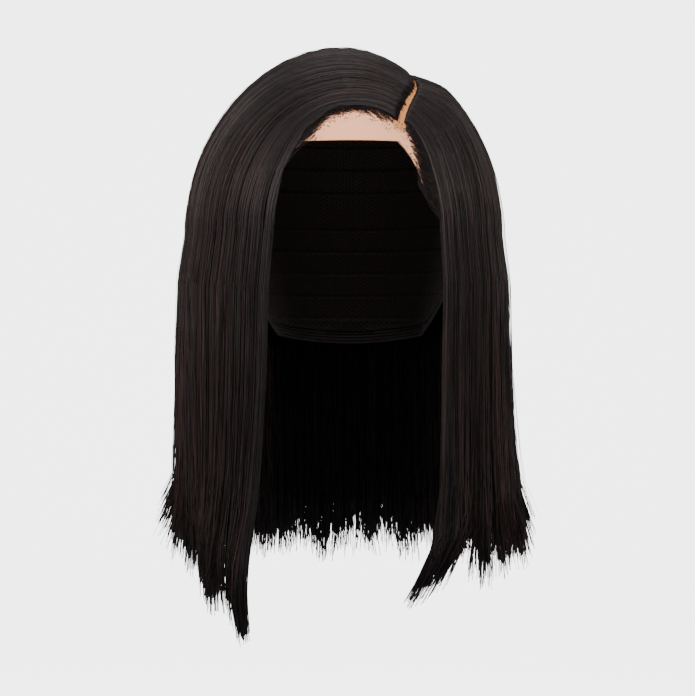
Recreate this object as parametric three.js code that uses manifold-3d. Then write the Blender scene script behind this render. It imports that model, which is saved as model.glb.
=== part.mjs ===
// A straight shoulder-length bob wig with a sheer lace front and a side part.
// It is held as a head holds it. Millimetres, +Z up, the face opening towards -Y.
// The origin is where the crown of the head touches the inside of the cap, so the
// wearer's left is +X, and the part runs back over that side of the crown.
// The cap, the lace and the elastic edge band sit on the head. Three wefts hang from the cap's
// back and sides, and seven sections of combed hair run from the part over them to the ends.
import * as THREE from "three";
import { mergeVertices } from "three/addons/utils/BufferGeometryUtils.js";
import Module from "manifold-3d";

const wasm = await Module();
wasm.setup();

// The head that the cap is made for
const headHalfWidth = 78;
const headFrontDepth = 90; // from the crown point forward to the forehead
const headBackDepth = 100;
const crownHeight = 95; // from the head's widest level up to the crown
const napeDrop = 110; // from the widest level down to the foot of the cap's form
const foreheadDrop = 59; // from the crown down to the lace's lower edge

// Cap
const capWall = 1.2;
const laceWall = 1.0;
const bandWall = 1.4;
const bandHeight = 9;
const pieceGap = 0.3;

// How far the outside of the combed hair stands off the head
const fullRightWidth = 26.5;
const fullLeftWidth = 19;
const fullFrontDepth = 9;
const fullBackDepth = 17;
const fullTopHeight = 8;
const bellyDrop = 18; // from the head's widest level down to the hair's
const hairFall = 370; // from the head's crown down to the longest ends
const tipSwing = 20; // how far the longest ends drift sideways

// Thicknesses of the hair
const partHalfWidth = 1.5;
const partFrontHalfWidth = 2.4; // at the front end of the part
const rootRise = 1.6; // hair above the cap right at the part
const hairThickness = 9; // of the combed hair where it hangs
const hairEdgeThickness = 5; // at the two edges that frame the face
const weftThickness = 6;
const lockRise = 2.0; // how far the ridge of a lock stands above its edges
const tipThickness = 1.0;
const tipReach = 24; // from the notch between two locks down to their tips

// The hair's own half sizes at its widest level, and its height above that
const hairRight = headHalfWidth + fullRightWidth;
const hairLeft = headHalfWidth + fullLeftWidth;
const hairFront = headFrontDepth + fullFrontDepth;
const hairBack = headBackDepth + fullBackDepth;
const hairCrownHeight = crownHeight + fullTopHeight + bellyDrop;
const hairEquator = -crownHeight - bellyDrop;
const headSpan = crownHeight + napeDrop;

// The cap's form below the widest level, as shares of napeDrop and of the head's half sizes
const napeForm = [
  { drop: 0, side: 1, front: 1, back: 1 },
  { drop: 0.25, side: 0.985, front: 0.98, back: 0.97 },
  { drop: 0.5, side: 0.94, front: 0.93, back: 0.9 },
  { drop: 0.78, side: 0.84, front: 0.85, back: 0.8 },
  { drop: 1, side: 0.74, front: 0.78, back: 0.7 },
];

// The part in plan, from the forehead back, as shares of the head's half sizes
const partLine = [
  { side: 0.39, along: -0.77 },
  { side: 0.51, along: -0.42 },
  { side: 0.485, along: -0.12 },
  { side: 0.42, along: 0.14 },
];

// The outside of the hanging hair: shares of the way down from the widest level to the longest
// ends, and of the hair's half sizes
const hangForm = [
  { drop: 0, right: 1, left: 1, front: 1, back: 1 },
  { drop: 0.15, right: 1.06, left: 1.045, front: 0.99, back: 1 },
  { drop: 0.42, right: 1.035, left: 1.03, front: 0.95, back: 0.97 },
  { drop: 0.66, right: 0.995, left: 1.055, front: 0.91, back: 0.93 },
  { drop: 1, right: 1, left: 1.09, front: 0.87, back: 0.9 },
];

// The way the hair is combed, a row for each guide from the wearer's right face edge round the
// back to the left one. part is the share of the part where it starts, counted from the front,
// crest the polar angle that it bends over at and hang the direction that it hangs in, both in
// degrees. rise is the share of its way over the crown that it takes to reach full height, and
// lift how much of that height it has. fall is a share of hairFall and swing of tipSwing.
const guides = [
  { part: 0.0, crest: 43, hang: -27.5, rise: 0.3, lift: 0.5, fall: 0.97, swingX: -1, swingY: 0 },
  { part: 0.1, crest: 43, hang: -43, rise: 0.3, lift: 0.85, fall: 0.94, swingX: -0.7, swingY: 0 },
  { part: 0.25, crest: 43, hang: -62, rise: 0.33, lift: 1, fall: 0.89, swingX: -0.4, swingY: 0 },
  { part: 0.42, crest: 43, hang: -84, rise: 0.35, lift: 1, fall: 0.835, swingX: -0.8, swingY: 0.1 },
  { part: 0.62, crest: 44, hang: -108, rise: 0.35, lift: 1, fall: 0.845, swingX: -0.4, swingY: 0.15 },
  { part: 0.82, crest: 44, hang: -130, rise: 0.36, lift: 1, fall: 0.865, swingX: -0.2, swingY: 0.15 },
  { part: 0.93, crest: 44, hang: -150, rise: 0.36, lift: 1, fall: 0.875, swingX: 0, swingY: 0.15 },
  { part: 1.0, crest: 44, hang: -180, rise: 0.36, lift: 1, fall: 0.88, swingX: 0, swingY: 0.15 },
  { part: 0.93, crest: 44, hang: -210, rise: 0.32, lift: 1, fall: 0.875, swingX: 0, swingY: 0.15 },
  { part: 0.82, crest: 45, hang: -230, rise: 0.28, lift: 1, fall: 0.865, swingX: 0.2, swingY: 0.15 },
  { part: 0.64, crest: 47, hang: -252, rise: 0.24, lift: 1, fall: 0.852, swingX: 0.5, swingY: 0.15 },
  { part: 0.46, crest: 49, hang: -275, rise: 0.24, lift: 1, fall: 0.855, swingX: 0.75, swingY: 0 },
  { part: 0.3, crest: 52, hang: -298, rise: 0.32, lift: 1, fall: 0.885, swingX: 0, swingY: 0 },
  { part: 0.14, crest: 56, hang: -311, rise: 0.5, lift: 0.9, fall: 0.905, swingX: -0.6, swingY: 0 },
  { part: 0.0, crest: 60, hang: -324, rise: 0.7, lift: 0.6, fall: 0.92, swingX: -0.95, swingY: 0 },
];

// The sections that the hair is combed into, between two guides
const sections = [
  { name: "hair_right_front", from: 0, to: 2, locks: 6 },
  { name: "hair_right_side", from: 2, to: 4, locks: 7 },
  { name: "hair_right_back", from: 4, to: 6, locks: 6 },
  { name: "hair_back", from: 6, to: 8, locks: 8 },
  { name: "hair_left_back", from: 8, to: 10, locks: 6 },
  { name: "hair_left_side", from: 10, to: 12, locks: 7 },
  { name: "hair_left_front", from: 12, to: 14, locks: 5 },
];

// The wefts under them. top is the share of headSpan below the crown where one is sewn on, and
// fall the share that it has of the combed hair's length over it.
const wefts = [
  { name: "weft_right", from: 2.6, to: 5.18, locks: 4, top: 0.36, fall: 0.975 },
  { name: "weft_nape", from: 5.22, to: 8.78, locks: 6, top: 0.5, fall: 0.975 },
  { name: "weft_left", from: 8.82, to: 11.4, locks: 4, top: 0.36, fall: 0.975 },
];

// Side outlines of the cap's pieces: along is a share of headFrontDepth or headBackDepth, down of headSpan
const seam = [
  { along: 0.25, down: -0.1 },
  { along: 0.1, down: 0.2 },
  { along: -0.09, down: 0.44 },
  { along: -0.14, down: 0.58 },
];
const temple = [
  { along: -0.38, down: 0.605 },
  { along: -0.56, down: 0.53 },
  { along: -0.82, down: 0.41 },
];
const capRim = [
  { along: -0.14, down: 0.58 },
  { along: 0.02, down: 0.49 },
  { along: 0.22, down: 0.5 },
  { along: 0.38, down: 0.64 },
  { along: 0.58, down: 0.86 },
  { along: 1.1, down: 0.92 },
];

const skin = { roughness: 0.75, metalness: 0 };
const hairMaterial = new THREE.MeshStandardMaterial({ color: 0x1b1617, roughness: 0.42, metalness: 0 });
const netMaterial = new THREE.MeshStandardMaterial({ color: 0x1a1514, ...skin });
const laceMaterial = new THREE.MeshStandardMaterial({ color: 0xc79668, ...skin });
const bandMaterial = new THREE.MeshStandardMaterial({ color: 0x121011, ...skin });

// A column of a table at a share between its rows, on a smooth curve through them.
function smooth(table, column, at) {
  const i = Math.min(Math.floor(at), table.length - 2);
  const t = at - i;
  const value = (k) => table[THREE.MathUtils.clamp(k, 0, table.length - 1)][column];
  const [a, b, c, d] = [value(i - 1), value(i), value(i + 1), value(i + 2)];
  const bend = (2 * a - 5 * b + 4 * c - d) * t * t + (3 * b - a - 3 * c + d) * t ** 3;
  return 0.5 * (2 * b + (c - a) * t + bend);
}

// Columns of a form table where its drop is the given one.
function formAt(table, drop, columns) {
  const k = Math.max(1, table.findIndex((row) => row.drop >= drop));
  const [a, b] = drop > 1 ? table.slice(-2) : [table[k - 1], table[k]];
  const t = THREE.MathUtils.clamp((drop - a.drop) / (b.drop - a.drop), 0, 1);
  return Object.fromEntries(columns.map((c) => [c, THREE.MathUtils.lerp(a[c], b[c], t)]));
}

// A repeatable number from 0 to 1 for the lock of that index.
function scatter(index) {
  const x = Math.sin(index * 12.9898) * 43758.5453;
  return x - Math.floor(x);
}

// A unit direction from the crown: polar degrees down from +Z, azimuth degrees round from the face.
function direction(polar, azimuth) {
  const p = THREE.MathUtils.degToRad(polar);
  const a = THREE.MathUtils.degToRad(azimuth);
  return new THREE.Vector3(Math.sin(p) * Math.sin(a), -Math.sin(p) * Math.cos(a), Math.cos(p));
}

// The head's surface along a unit direction, grown by an offset.
function onHead(n, offset = 0) {
  const depth = (n.y < 0 ? headFrontDepth : headBackDepth) + offset;
  const height = crownHeight + offset;
  return new THREE.Vector3(n.x * (headHalfWidth + offset), n.y * depth, n.z * height - crownHeight);
}

// The outside of the combed hair along a unit direction, above its widest level.
function onHair(n) {
  const side = n.x < 0 ? hairRight : hairLeft;
  const depth = n.y < 0 ? hairFront : hairBack;
  return new THREE.Vector3(n.x * side, n.y * depth, hairEquator + hairCrownHeight * n.z);
}

// A closed solid between two grids of points of the same size, with walls round their edges.
function slab(outer, inner) {
  const rows = outer.length;
  const columns = outer[0].length;
  const points = [...outer.flat(), ...inner.flat()];
  const at = (layer, i, j) => layer * rows * columns + i * columns + j;
  const index = [];
  const quad = (a, b, c, d) => index.push(a, b, c, a, c, d);
  for (let i = 0; i < rows - 1; i++) {
    for (let j = 0; j < columns - 1; j++) {
      quad(at(0, i, j), at(0, i + 1, j), at(0, i + 1, j + 1), at(0, i, j + 1));
      quad(at(1, i, j), at(1, i, j + 1), at(1, i + 1, j + 1), at(1, i + 1, j));
    }
    const last = columns - 1;
    quad(at(0, i, 0), at(1, i, 0), at(1, i + 1, 0), at(0, i + 1, 0));
    quad(at(0, i, last), at(0, i + 1, last), at(1, i + 1, last), at(1, i, last));
  }
  for (let j = 0; j < columns - 1; j++) {
    const last = rows - 1;
    quad(at(0, 0, j), at(0, 0, j + 1), at(1, 0, j + 1), at(1, 0, j));
    quad(at(0, last, j), at(1, last, j), at(1, last, j + 1), at(0, last, j + 1));
  }
  return new THREE.BufferGeometry().setFromPoints(points).setIndex(index);
}

// A three.js geometry as a solid that can be joined and cut, facing outwards.
function solid(geometry) {
  const bare = geometry.clone();
  bare.deleteAttribute("normal");
  bare.deleteAttribute("uv");
  const merged = mergeVertices(bare, 1e-4);
  const triVerts = new Uint32Array(merged.index.array);
  const vertProperties = merged.attributes.position.array;
  const made = new wasm.Manifold(new wasm.Mesh({ numProp: 3, vertProperties, triVerts }));
  if (made.volume() > 0) return made;
  return new wasm.Manifold(new wasm.Mesh({ numProp: 3, vertProperties, triVerts: triVerts.reverse() }));
}

// A solid as a named mesh.
function piece(name, made, material) {
  const { vertProperties, triVerts } = made.getMesh();
  const geometry = new THREE.BufferGeometry()
    .setAttribute("position", new THREE.BufferAttribute(vertProperties, 3))
    .setIndex(new THREE.BufferAttribute(triVerts, 1));
  geometry.computeVertexNormals();
  const mesh = new THREE.Mesh(geometry, material);
  mesh.name = name;
  return mesh;
}

// The cap's form filled solid, grown by an offset.
const formColumns = 32;
const crownRings = 8;

function headForm(offset) {
  const rings = [];
  for (let i = 1; i <= crownRings; i++) {
    const ring = [];
    for (let j = 0; j < formColumns; j++)
      ring.push(onHead(direction((90 * i) / crownRings, (360 * j) / formColumns), offset));
    rings.push(ring);
  }
  for (const { drop, side, front, back } of napeForm.slice(1)) {
    rings.push(rings[crownRings - 1].map((p) => new THREE.Vector3(
      p.x * side,
      p.y * (p.y < 0 ? front : back),
      -crownHeight - drop * napeDrop,
    )));
  }
  const top = new THREE.Vector3(0, 0, offset);
  const foot = new THREE.Vector3(0, 0, -crownHeight - napeDrop);
  const points = [top, ...rings.flat(), foot];
  const at = (i, j) => 1 + i * formColumns + (j % formColumns);
  const index = [];
  for (let j = 0; j < formColumns; j++) {
    index.push(0, at(0, j), at(0, j + 1));
    for (let i = 0; i < rings.length - 1; i++)
      index.push(at(i, j), at(i + 1, j), at(i + 1, j + 1), at(i, j), at(i + 1, j + 1), at(i, j + 1));
    index.push(points.length - 1, at(rings.length - 1, j + 1), at(rings.length - 1, j));
  }
  return solid(new THREE.BufferGeometry().setFromPoints(points).setIndex(index));
}

// A point of a side outline, as [y, z].
function outlinePoint({ along, down }) {
  return [along * (along < 0 ? headFrontDepth : headBackDepth), -down * headSpan];
}

// A side outline swept right across the head.
function acrossHead(points) {
  const width = 4 * headHalfWidth;
  const outline = new THREE.Shape(points.map(([y, z]) => new THREE.Vector2(y, z)));
  const swept = new THREE.ExtrudeGeometry(outline, { depth: width, bevelEnabled: false });
  swept.translate(0, 0, -width / 2);
  const along = new THREE.Matrix4().makeBasis(
    new THREE.Vector3(0, 1, 0),
    new THREE.Vector3(0, 0, 1),
    new THREE.Vector3(1, 0, 0),
  );
  return solid(swept.applyMatrix4(along));
}

// The sheer lace from temple to temple, with the ground under the part.
function laceFront(headSpace) {
  const brow = -2 * headFrontDepth;
  const outline = [
    ...seam.map(outlinePoint),
    ...temple.map(outlinePoint),
    [-0.85 * headFrontDepth, -foreheadDrop],
    [brow, -foreheadDrop + pieceGap],
    [brow, headSpan],
    [seam[0].along * headBackDepth, headSpan],
  ];
  return headForm(laceWall).subtract(headSpace).intersect(acrossHead(outline));
}

// Everything behind the lace's seam, as one block.
function behindSeam() {
  const line = seam.toReversed().map(outlinePoint).map(([y, z]) => [y + pieceGap, z]);
  const [ear, crown] = [line[0][0], line.at(-1)[0]];
  const back = 2 * headBackDepth;
  const corners = [[crown, headSpan], [back, headSpan], [back, -2 * headSpan], [ear, -2 * headSpan]];
  return acrossHead([...line, ...corners]);
}

// Everything under the cap's rim raised by a height, as one block.
function belowRim(height) {
  const line = capRim.map(outlinePoint).map(([y, z]) => [y, z + height]);
  const [brow, back, foot] = [-2 * headFrontDepth, 3 * headBackDepth, -2 * headSpan];
  return acrossHead([[brow, line[0][1]], ...line, [back, line.at(-1)[1]], [back, foot], [brow, foot]]);
}

// The stretch net over the crown and the back of the head.
function capNet(headSpace) {
  return headForm(capWall).subtract(headSpace).intersect(behindSeam()).subtract(belowRim(bandHeight));
}

// The elastic band that hems the net from ear to ear round the nape.
function edgeBand(headSpace) {
  const hem = belowRim(bandHeight - pieceGap).subtract(belowRim(0));
  return headForm(bandWall).subtract(headSpace).intersect(behindSeam()).intersect(hem);
}

// Guide curves of the combed hair

const partCurve = new THREE.CatmullRomCurve3(partLine.map(({ side, along }) =>
  new THREE.Vector3(side, along, Math.sqrt(1 - side ** 2 - along ** 2))));

// One guide's own sizes, at a share between the rows of the table.
function guideAt(u) {
  return Object.fromEntries(Object.keys(guides[0]).map((c) => [c, smooth(guides, c, u)]));
}

// Where a guide starts: beside the part, on its own side, as a unit direction.
function rootDirection(guide) {
  const away = direction(90, guide.hang);
  const aside = new THREE.Vector3(away.x, Math.max(0, away.y), 0).normalize();
  const along = THREE.MathUtils.clamp(guide.part, 0, 1);
  const half = THREE.MathUtils.lerp(partFrontHalfWidth, partHalfWidth, Math.min(1, 3 * along));
  return partCurve.getPoint(along).addScaledVector(aside, half / headHalfWidth).normalize();
}

// How much of the hair's height above the cap a guide has at a share of its way over the crown.
function liftAt(guide, over) {
  const risen = THREE.MathUtils.smoothstep(over, 0, guide.rise);
  return risen * THREE.MathUtils.lerp(guide.lift, 1, THREE.MathUtils.smoothstep(over, 0.6, 1));
}

// The unit direction of a guide at a share of its way over the crown, combed over its crest.
function combed(guide, over) {
  const crest = direction(guide.crest, guide.hang);
  const end = direction(90, guide.hang);
  return rootDirection(guide).multiplyScalar((1 - over) ** 2)
    .addScaledVector(crest, 2 * over * (1 - over))
    .addScaledVector(end, over ** 2)
    .normalize();
}

// A point on the outside of the hair over the crown, and the way inwards from it.
function overCrown(guide, over) {
  const n = combed(guide, over);
  const low = onHead(n, capWall + rootRise);
  return { point: low.lerp(onHair(n), liftAt(guide, over)), inwards: n.clone().negate() };
}

// A point on the outside of the hanging hair at a height, swung aside near its end.
function hanging(guide, z) {
  const drop = (hairEquator - z) / (hairEquator + hairFall);
  const form = formAt(hangForm, drop, ["right", "left", "front", "back"]);
  const n = direction(90, guide.hang);
  const point = onHair(n);
  point.x *= n.x < 0 ? form.right : form.left;
  point.y *= n.y < 0 ? form.front : form.back;
  point.z = z;
  const swung = tipSwing * Math.max(0, drop) ** 2;
  point.x += guide.swingX * swung;
  point.y += guide.swingY * swung;
  return { point, inwards: n.clone().negate() };
}

// Stations down a guide: shares of the way over the crown, then shares of the hanging length.
const crownStations = [0, 0.09, 0.2, 0.32, 0.44, 0.56, 0.68, 0.79, 0.9];
const hangStations = [0, 0.12, 0.3, 0.5, 0.7, 0.88, 1];

// Outside point, inward direction and full thickness at each station of a guide that ends at a
// height. The notch row, the last but one, keeps above the tips.
function stationsOf(u, end) {
  const guide = guideAt(u);
  const edge = Math.min(1, Math.min(u, guides.length - 1 - u));
  const thick = THREE.MathUtils.lerp(hairEdgeThickness, hairThickness, edge);
  const crown = crownStations.map((over) => {
    const at = overCrown(guide, over);
    const toCap = at.point.distanceTo(onHead(combed(guide, over))) + capWall;
    const seated = 1 - THREE.MathUtils.smoothstep(over, 0.66, 0.86);
    return { ...at, thick: THREE.MathUtils.lerp(thick, toCap, seated) };
  });
  const notch = endOf(u) + tipReach;
  const hang = hangStations.map((down, i) => {
    const tip = i === hangStations.length - 1;
    const share = down / hangStations.at(-2);
    const z = tip ? end : THREE.MathUtils.lerp(hairEquator, notch + tipReach / 4, share);
    return { ...hanging(guide, z), thick: tip ? tipThickness : thick * THREE.MathUtils.lerp(1, 0.6, down) };
  });
  return [...crown, ...hang];
}

// The height of a guide's longest ends, from the table of guides.
const endOf = (u) => -hairFall * smooth(guides, "fall", u);

// A point sunk inwards from a station.
const sunkIn = (station, depth) => station.point.clone().addScaledVector(station.inwards, depth);

// The columns that a run of locks is laid out on between two guides: an edge, a ridge, an edge
// and so on, unevenly wide, with the height that each column ends at.
function lockColumns(from, to, locks) {
  const columns = [];
  for (let k = 0; k <= 2 * locks; k++) {
    const seed = 31 * from + k;
    const free = k > 0 && k < 2 * locks;
    const u = from + ((to - from) * (k + (free ? 0.7 * (scatter(seed) - 0.5) : 0))) / (2 * locks);
    const ridge = k % 2 === 1;
    const notch = endOf(u) + tipReach * (free ? 0.8 + 0.4 * scatter(seed + 9) : 1);
    const tip = endOf(u) + 0.5 * tipReach * scatter(seed + 5) ** 2;
    const rise = ridge ? lockRise * (0.6 + 0.8 * scatter(seed + 3)) : 0;
    columns.push({ u, rise, end: ridge ? tip : notch });
  }
  return columns;
}

// Draws the first and the last run of stations in, half a gap short of their neighbours.
function spaced(runs) {
  const last = runs.length - 1;
  for (const [edge, next] of [[0, 1], [last, last - 1]]) {
    runs[edge].forEach((station, i) => {
      const towards = runs[next][i].point.clone().sub(station.point).setZ(0).normalize();
      station.point.addScaledVector(towards, pieceGap / 2);
    });
  }
  return runs;
}

// Runs of stations as two grids: one over the ridges of the locks and one at their full depth.
function ridged(runs, columns) {
  const sunk = (i, j) => (lockRise - columns[j].rise) * Math.min(1, i / 3);
  const rows = runs[0].map((_, i) => i);
  const outer = rows.map((i) => runs.map((run, j) => sunkIn(run[i], sunk(i, j))));
  const inner = rows.map((i) => runs.map((run) => sunkIn(run[i], run[i].thick)));
  return solid(slab(outer, inner));
}

// A section of combed hair: locks side by side, fused to the backing behind them, from the part
// to the pointed ends, cut to sit on the cap.
function hairSection({ from, to, locks }, seat) {
  const columns = lockColumns(from, to, locks);
  const runs = spaced(columns.map(({ u, end }) => stationsOf(u, end)));
  return ridged(runs, columns).subtract(seat);
}

// The room that the combed hair takes between two guides, with a gap inside it.
function cover(from, to) {
  const runs = [];
  for (let u = from; u <= to + 1e-6; u += 0.25) runs.push(stationsOf(u, -1.1 * hairFall));
  const grid = (depth) => runs[0].map((_, i) => runs.map((run) => sunkIn(run[i], depth(run[i]))));
  return solid(slab(grid(() => -3 * lockRise), grid((station) => station.thick + pieceGap)));
}

// The outside of the combed hair in a guide's hanging direction, at any height.
function outsideAt(guide, z) {
  if (z < hairEquator) return hanging(guide, z).point;
  const polar = THREE.MathUtils.radToDeg(Math.acos((z - hairEquator) / hairCrownHeight));
  return onHair(direction(polar, guide.hang));
}

// Stations down a weft: shares of the way from the sewn row to the notches, then the tips.
const weftStations = [0, 0.05, 0.11, 0.2, 0.45, 0.75, 1, 1];

// A weft: locks sewn to the cap in a row, that hang close inside the combed hair.
function weft({ from, to, locks, top, fall }, seat) {
  const columns = lockColumns(from, to, locks);
  const sewn = -top * headSpan;
  const runs = spaced(columns.map(({ u, end }) => {
    const guide = guideAt(u);
    const inwards = direction(90, guide.hang).negate();
    const polar = THREE.MathUtils.radToDeg(Math.acos(Math.max(0, 1 + sewn / crownHeight)));
    const root = onHead(direction(polar, guide.hang), 2 * weftThickness / 3);
    return weftStations.map((share, i) => {
      const tip = i === weftStations.length - 1;
      const z = THREE.MathUtils.lerp(sewn, (tip ? end : endOf(u) + 1.3 * tipReach) * fall, share);
      const free = THREE.MathUtils.smoothstep(share, 0, 0.2);
      const thick = tip ? tipThickness : THREE.MathUtils.lerp(weftThickness, 0.6 * weftThickness, share);
      const under = outsideAt(guide, z).addScaledVector(inwards, hairThickness * (1 - 0.4 * share));
      return { point: root.clone().setZ(z).lerp(under, free), inwards, thick };
    });
  }));
  return ridged(runs, columns).subtract(cover(from - 0.4, to + 0.4)).subtract(seat);
}

const seat = headForm(Math.max(capWall, laceWall, bandWall) + pieceGap);
const headSpace = headForm(0);
const wig = new THREE.Group();
wig.add(piece("lace_front", laceFront(headSpace), laceMaterial));
wig.add(piece("cap_net", capNet(headSpace), netMaterial));
wig.add(piece("edge_band", edgeBand(headSpace), bandMaterial));
for (const one of wefts) wig.add(piece(one.name, weft(one, seat), hairMaterial));
for (const one of sections) wig.add(piece(one.name, hairSection(one, seat), hairMaterial));

export default wig;
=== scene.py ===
"""A straight dark bob wig with a lace front and a side part, in the form that a head gives it."""
import math

import bmesh
import bpy
import numpy as np
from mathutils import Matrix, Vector


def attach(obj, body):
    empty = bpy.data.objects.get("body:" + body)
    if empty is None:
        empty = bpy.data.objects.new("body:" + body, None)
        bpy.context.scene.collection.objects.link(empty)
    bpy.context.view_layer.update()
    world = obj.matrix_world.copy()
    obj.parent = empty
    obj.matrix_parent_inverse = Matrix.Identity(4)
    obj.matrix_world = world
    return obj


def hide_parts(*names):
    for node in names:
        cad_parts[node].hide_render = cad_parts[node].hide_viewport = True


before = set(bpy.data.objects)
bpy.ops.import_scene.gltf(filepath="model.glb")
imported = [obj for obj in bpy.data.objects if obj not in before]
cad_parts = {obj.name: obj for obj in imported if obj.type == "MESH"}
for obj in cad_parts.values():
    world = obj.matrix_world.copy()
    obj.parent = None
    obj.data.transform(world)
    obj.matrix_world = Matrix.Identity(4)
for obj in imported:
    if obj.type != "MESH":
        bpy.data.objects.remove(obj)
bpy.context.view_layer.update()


# Camera: level with the middle of the hair and 1.5 m in front of the crown, with a long lens
# that keeps the perspective flat. The frame takes in FRAME_HEIGHT at the crown.
CAMERA_DISTANCE = 1.5
FRAME_HEIGHT = 0.4454
FRAME_MIDDLE_X, FRAME_MIDDLE_Z = -0.0016, -0.1846

camera = bpy.data.objects.new("camera", bpy.data.cameras.new("camera"))
camera.data.sensor_width = 36
camera.data.lens = 36 * CAMERA_DISTANCE / FRAME_HEIGHT
camera.location = (FRAME_MIDDLE_X, -CAMERA_DISTANCE, FRAME_MIDDLE_Z)
camera.rotation_euler = (math.pi / 2, 0, 0)
bpy.context.scene.collection.objects.link(camera)
bpy.context.scene.camera = camera


# Cap net: black stretch net over the crown and the back of the head, knitted in one piece. It is
# stretched to the head's form, sewn to the lace in front and hemmed by the elastic band below.
MM = 0.001
HEAD_HALF_WIDTH, HEAD_FRONT, HEAD_BACK = 78.0, 90.0, 100.0
CROWN_HEIGHT, NAPE_DROP = 95.0, 110.0
HEAD_SPAN = CROWN_HEIGHT + NAPE_DROP
CAP_WALL = 1.2
PIECE_GAP = 0.3
BAND_HEIGHT = 9.0
NET_CELL = 2.4
NET_BLACK = (0.02, 0.016, 0.016)
THREAD_BLACK = (0.045, 0.038, 0.036)
# share of the way from the widest level to the foot, then shares of the head's half sizes: side,
# front, back
NAPE_FORM = np.array([
    (0, 1, 1, 1),
    (0.25, 0.985, 0.98, 0.97),
    (0.5, 0.94, 0.93, 0.9),
    (0.78, 0.84, 0.85, 0.8),
    (1, 0.74, 0.78, 0.7),
])
# side outlines: shares of the head's depth, then of its height
SEAM = ((0.25, -0.1), (0.1, 0.2), (-0.09, 0.44), (-0.14, 0.58))
CAP_RIM = ((-0.14, 0.58), (0.02, 0.49), (0.22, 0.5), (0.38, 0.64), (0.58, 0.86), (1.1, 0.92))


def unit(v):
    """Vectors brought to a length of 1."""
    return v / np.maximum(np.linalg.norm(v, axis=-1, keepdims=True), 1e-9)


def on_head(n, offset=0.0):
    """Points on the head in unit directions, in millimetres, grown outwards by an offset."""
    low = np.clip(-n[..., 2], 0, 1)
    below = n[..., 2] < 0
    flat = np.maximum(np.hypot(n[..., 0], n[..., 1]), 1e-9)
    ring = np.where(below, np.where(low > 0.9999, 0, 1 / flat), 1)
    side, front, back = (np.interp(low, NAPE_FORM[:, 0], NAPE_FORM[:, k]) for k in (1, 2, 3))
    along = np.where(n[..., 1] < 0, front * (HEAD_FRONT + offset), back * (HEAD_BACK + offset))
    height = np.where(below, NAPE_DROP, CROWN_HEIGHT + offset)
    across = side * (HEAD_HALF_WIDTH + offset)
    x, y = n[..., 0] * ring * across, n[..., 1] * ring * along
    return np.stack([x, y, n[..., 2] * height - CROWN_HEIGHT], -1)


def coordinates(verts):
    """The places of vertices."""
    return np.array([v.co[:] for v in verts])


def place(verts, points):
    """Moves vertices to points given in millimetres."""
    for vert, point in zip(verts, points * MM):
        vert.co = point


def finished(name, bm, *materials):
    """A smooth object from a bmesh, with its materials."""
    mesh = bpy.data.meshes.new(name)
    bm.to_mesh(mesh)
    bm.free()
    mesh.shade_smooth()
    for material in materials:
        mesh.materials.append(material)
    made = bpy.data.objects.new(name, mesh)
    bpy.context.scene.collection.objects.link(made)
    return made


def head_form(offset, fineness):
    """The head's form as a closed solid."""
    bm = bmesh.new()
    bmesh.ops.create_uvsphere(bm, u_segments=48 * fineness, v_segments=30 * fineness, radius=1)
    place(bm.verts, on_head(coordinates(bm.verts), offset))
    return finished("form", bm)


def across_head(outline):
    """A side outline of (y, z) in millimetres, swept right across the head."""
    bm = bmesh.new()
    width = 2 * HEAD_HALF_WIDTH * MM
    face = bm.faces.new([bm.verts.new((-width, y * MM, z * MM)) for y, z in outline])
    swept = bmesh.ops.extrude_face_region(bm, geom=[face], use_keep_orig=True)
    moved = [item for item in swept["geom"] if isinstance(item, bmesh.types.BMVert)]
    bmesh.ops.translate(bm, verts=moved, vec=(2 * width, 0, 0))
    bmesh.ops.recalc_face_normals(bm, faces=bm.faces)
    return finished("outline", bm)


def carved(solid, cutter, operation):
    """The solid cut by a cutter or down to it. The cutter is used up."""
    modifier = solid.modifiers.new("carve", "BOOLEAN")
    modifier.object, modifier.operation, modifier.solver = cutter, operation, "EXACT"
    depsgraph = bpy.context.evaluated_depsgraph_get()
    mesh = bpy.data.meshes.new_from_object(solid.evaluated_get(depsgraph))
    solid.modifiers.clear()
    solid.data = mesh
    bpy.data.objects.remove(cutter)
    return solid


def profile(shares):
    """A side outline in millimetres, from its shares of the head's depth and height."""
    return [(y * (HEAD_FRONT if y < 0 else HEAD_BACK), -down * HEAD_SPAN) for y, down in shares]


def behind_seam():
    """All that lies behind the seam between the net and the lace."""
    line = [(y + PIECE_GAP, z) for y, z in profile(SEAM)[::-1]]
    back, foot = 2 * HEAD_BACK, -2 * HEAD_SPAN
    return line + [(line[-1][0], HEAD_SPAN), (back, HEAD_SPAN), (back, foot), (line[0][0], foot)]


def below_rim(height):
    """All that lies lower than a height above the net's rim."""
    line = [(y, z + height) for y, z in profile(CAP_RIM)]
    front, back, foot = -2 * HEAD_FRONT, 3 * HEAD_BACK, -2 * HEAD_SPAN
    return [(front, line[0][1]), *line, (back, line[-1][1]), (back, foot), (front, foot)]


def shell_on_head(name, inside, outside, cuts, fineness=2):
    """A wall between two offsets from the head, cut by side outlines or solids."""
    made = carved(head_form(outside, fineness), head_form(inside, fineness), "DIFFERENCE")
    for cutter, operation in cuts:
        made = carved(made, cutter if hasattr(cutter, "data") else across_head(cutter), operation)
    made.name = made.data.name = name
    made.data.shade_smooth()
    return made


def mesh_points(mesh):
    """A mesh's vertices in millimetres."""
    points = np.zeros(3 * len(mesh.vertices))
    mesh.vertices.foreach_get("co", points)
    return points.reshape(-1, 3) / MM


def lay_map(mesh, at):
    """The map 'cloth', from a position in metres for each vertex."""
    corners = np.zeros(len(mesh.loops), dtype=np.int64)
    mesh.loops.foreach_get("vertex_index", corners)
    mesh.uv_layers.new(name="cloth").data.foreach_set("uv", at[corners].astype(np.float32).ravel())


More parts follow.
